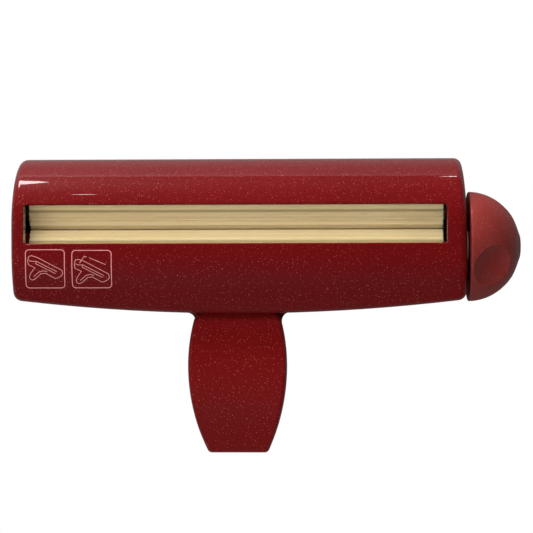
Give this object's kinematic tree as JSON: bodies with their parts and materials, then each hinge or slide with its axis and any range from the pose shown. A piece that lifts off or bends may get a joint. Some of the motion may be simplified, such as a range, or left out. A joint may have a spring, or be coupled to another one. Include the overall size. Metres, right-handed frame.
{
  "type": "paper crimper",
  "caption": "Hand-held paper crimper: fluted rollers behind a long window, a dome knob that cranks them and a squeeze lever that presses them together.",
  "frame": {"origin": "on the flat back, straight behind the lower roller's axis, halfway along the rollers", "axes": "+X along the rollers towards the knob, +Y across them away from the grip, +Z out of the front window"},
  "size_m": [0.2731, 0.1603, 0.0606],
  "materials": {
    "shell_red": "gloss, fine glitter",
    "lever_red": "gloss, fine glitter",
    "knob_red": "satin gloss, fine glitter",
    "roller_ivory": "satin",
    "shaft_steel": "turned",
    "frame_steel": "zinc plated sheet",
    "bush_plastic": "matte",
    "screw_steel": "zinc plated",
    "spring_steel": "drawn wire",
    "pad_rubber": "matte"
  },
  "bodies": {
    "housing": {"front_shell": "shell_red", "rear_shell": "shell_red", "shell_screws": "screw_steel", "drive_bush_left": "bush_plastic", "drive_bush_right": "bush_plastic", "pivot_screw_left": "screw_steel", "pivot_screw_right": "screw_steel", "return_spring": "spring_steel", "stop_pad_left": "pad_rubber", "stop_pad_right": "pad_rubber"},
    "drive": {"drive_roller": "roller_ivory", "drive_shaft": "shaft_steel", "drive_pin": "shaft_steel", "drive_clip": "spring_steel", "knob_washer": "bush_plastic", "crank_knob": "knob_red", "knob_set_screw": "screw_steel"},
    "lever": {"squeeze_lever": "lever_red", "swing_frame": "frame_steel", "lever_screws": "screw_steel", "idler_shaft": "shaft_steel", "idler_clip_left": "spring_steel", "idler_clip_right": "spring_steel", "pivot_bush_left": "bush_plastic", "pivot_bush_right": "bush_plastic"},
    "idler": {"idler_roller": "roller_ivory", "idler_bush_left": "bush_plastic", "idler_bush_right": "bush_plastic"}
  },
  "joints": [
    {"name": "crank_spin", "type": "hinge", "parent": "housing", "child": "drive", "pos_m": [0, 0, 0.031], "axis": [1, 0, 0], "continuous": true},
    {"name": "lever_squeeze", "type": "hinge", "parent": "housing", "child": "lever", "pos_m": [0, 0.0187, 0.015], "axis": [1, 0, 0], "range_deg": [0, 3.6], "stiffness_Nm_per_rad": 12, "springref_deg": -1.72, "deforming": ["return_spring"]},
    {"name": "idler_spin", "type": "hinge", "parent": "lever", "child": "idler", "pos_m": [0, 0.0197, 0.03097], "axis": [1, 0, 0], "continuous": true}
  ],
  "couplings": [
    {"joint": "idler_spin", "follows": "crank_spin", "ratio": -1}
  ]
}
